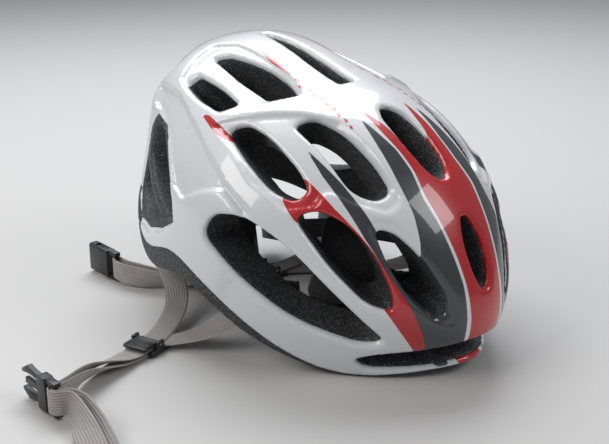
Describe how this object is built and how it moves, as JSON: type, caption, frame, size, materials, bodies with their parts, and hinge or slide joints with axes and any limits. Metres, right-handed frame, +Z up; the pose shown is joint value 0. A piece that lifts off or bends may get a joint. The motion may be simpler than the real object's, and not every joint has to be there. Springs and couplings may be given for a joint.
{
  "type": "cycling helmet",
  "caption": "Vented road cycling helmet with a dial-adjusted rear cradle, padded liner and webbing harness with a side-release buckle.",
  "frame": {"origin": "on the surface the helmet lies on, under the middle of the helmet without its loose harness", "axes": "-Y towards the brow, +X towards the wearer's left, +Z up; the helmet lies nose down on its brow corners and its rear cradle"},
  "size_m": [0.342, 0.3001, 0.1723],
  "materials": {
    "shell_gloss": "gloss",
    "foam": "matte bead foam",
    "black_plastic": "satin",
    "grey_plastic": "satin",
    "grip_rubber": "matte",
    "pad_fabric": "knit",
    "hook_tape": "hook tape",
    "webbing": "woven",
    "steel": "satin"
  },
  "bodies": {
    "helmet": {"outer_shell": "shell_gloss", "foam_liner": "foam", "left_front_anchor": "black_plastic", "left_rear_anchor": "black_plastic", "right_front_anchor": "black_plastic", "right_rear_anchor": "black_plastic", "brow_pad": "pad_fabric", "crown_pad": "pad_fabric", "left_top_pad": "pad_fabric", "right_top_pad": "pad_fabric", "left_temple_pad": "pad_fabric", "right_temple_pad": "pad_fabric", "pad_discs": "hook_tape", "left_temple_clip": "black_plastic", "right_temple_clip": "black_plastic", "tongue_loop": "black_plastic", "left_divider": "black_plastic", "left_divider_pin": "steel", "right_divider": "black_plastic", "right_divider_pin": "steel", "male_buckle": "black_plastic", "female_buckle": "black_plastic", "right_front_strap": "webbing", "right_rear_strap": "webbing", "right_chin_strap_inner": "webbing", "right_chin_strap_outer": "webbing", "left_front_strap": "webbing", "left_rear_strap": "webbing", "left_chin_strap": "webbing"},
    "cradle": {"gear_housing": "black_plastic", "housing_cover": "black_plastic", "cover_screws": "steel", "height_tongue": "black_plastic", "left_nape_pad": "pad_fabric", "right_nape_pad": "pad_fabric"},
    "dial": {"dial_knob": "black_plastic", "dial_grip": "grip_rubber", "dial_cap": "grey_plastic", "drive_pinion": "grey_plastic"},
    "left_arm": {"left_arm": "black_plastic"},
    "right_arm": {"right_arm": "black_plastic"},
    "left_lever": {"left_divider_lever": "black_plastic"},
    "right_lever": {"right_divider_lever": "black_plastic"},
    "upper_prong": {"upper_prong": "black_plastic"},
    "lower_prong": {"lower_prong": "black_plastic"}
  },
  "joints": [
    {"name": "cradle_tilt", "type": "hinge", "parent": "helmet", "child": "cradle", "pos_m": [0, -0.0442, 0.0412], "axis": [-1, 0, 0], "range_deg": [0, 2.5]},
    {"name": "dial_turn", "type": "hinge", "parent": "cradle", "child": "dial", "pos_m": [0, 0.101, 0.0182], "axis": [0, 0.9877, -0.1564], "range_deg": [-95.11, 10.31]},
    {"name": "left_arm_slide", "type": "slide", "parent": "cradle", "child": "left_arm", "axis": [1, 0, 0], "range_m": [-0.0083, 0.0009]},
    {"name": "right_arm_slide", "type": "slide", "parent": "cradle", "child": "right_arm", "axis": [-1, 0, 0], "range_m": [-0.0083, 0.0009]},
    {"name": "left_lever_lift", "type": "hinge", "parent": "helmet", "child": "left_lever", "pos_m": [0.01, 0.062, 0.006], "axis": [0.1736, 0.9848, 0], "range_deg": [0, 100]},
    {"name": "right_lever_lift", "type": "hinge", "parent": "helmet", "child": "right_lever", "pos_m": [-0.126, 0.019, 0.006], "axis": [-0.3007, 0.9537, 0], "range_deg": [0, 100]},
    {"name": "upper_prong_press", "type": "hinge", "parent": "helmet", "child": "upper_prong", "pos_m": [-0.21, -0.0016, 0.0184], "axis": [-1, 0, 0], "range_deg": [0, 7], "stiffness_Nm_per_rad": 0.05},
    {"name": "lower_prong_press", "type": "hinge", "parent": "helmet", "child": "lower_prong", "pos_m": [-0.21, -0.0016, 0.0046], "axis": [1, 0, 0], "range_deg": [0, 7], "stiffness_Nm_per_rad": 0.05}
  ],
  "couplings": [
    {"joint": "dial_turn", "follows": "left_arm_slide", "rad_per_m": 200},
    {"joint": "right_arm_slide", "follows": "left_arm_slide", "ratio": 1}
  ]
}
